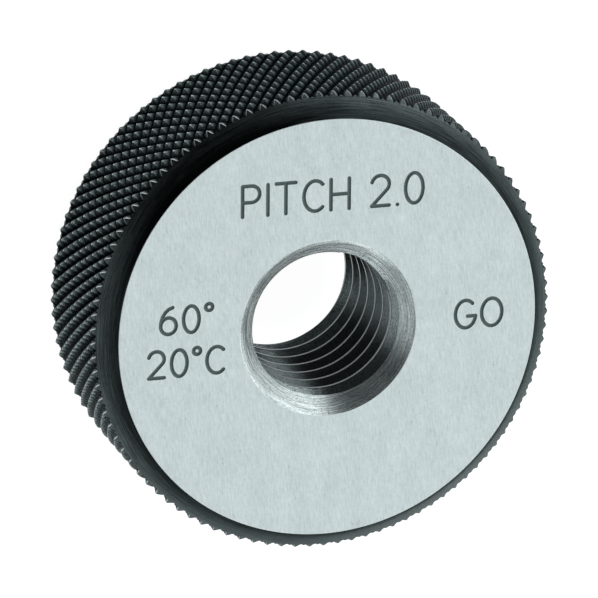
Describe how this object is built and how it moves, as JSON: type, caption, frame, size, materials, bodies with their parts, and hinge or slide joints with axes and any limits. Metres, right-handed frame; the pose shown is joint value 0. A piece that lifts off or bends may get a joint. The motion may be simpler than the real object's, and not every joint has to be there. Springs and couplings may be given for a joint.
{
  "type": "thread ring gauge",
  "caption": "One-piece steel ring with a threaded through bore, lapped flat faces, bevelled corners and a diamond-knurled rim, for checking an external screw thread by hand.",
  "frame": {"origin": "on the bore's axis, at the plain back face that the ring lies on", "axes": "+Z along the bore from the back face to the marked face, +X the way the marks are read, +Y towards the top of the marks"},
  "size_m": [0.038, 0.038, 0.016],
  "materials": {
    "hardened_steel": "lapped bright faces and bore, with the knurled rim and bevels blackened"
  },
  "bodies": {
    "root": {"gauge_ring": "hardened_steel"}
  },
  "joints": []
}
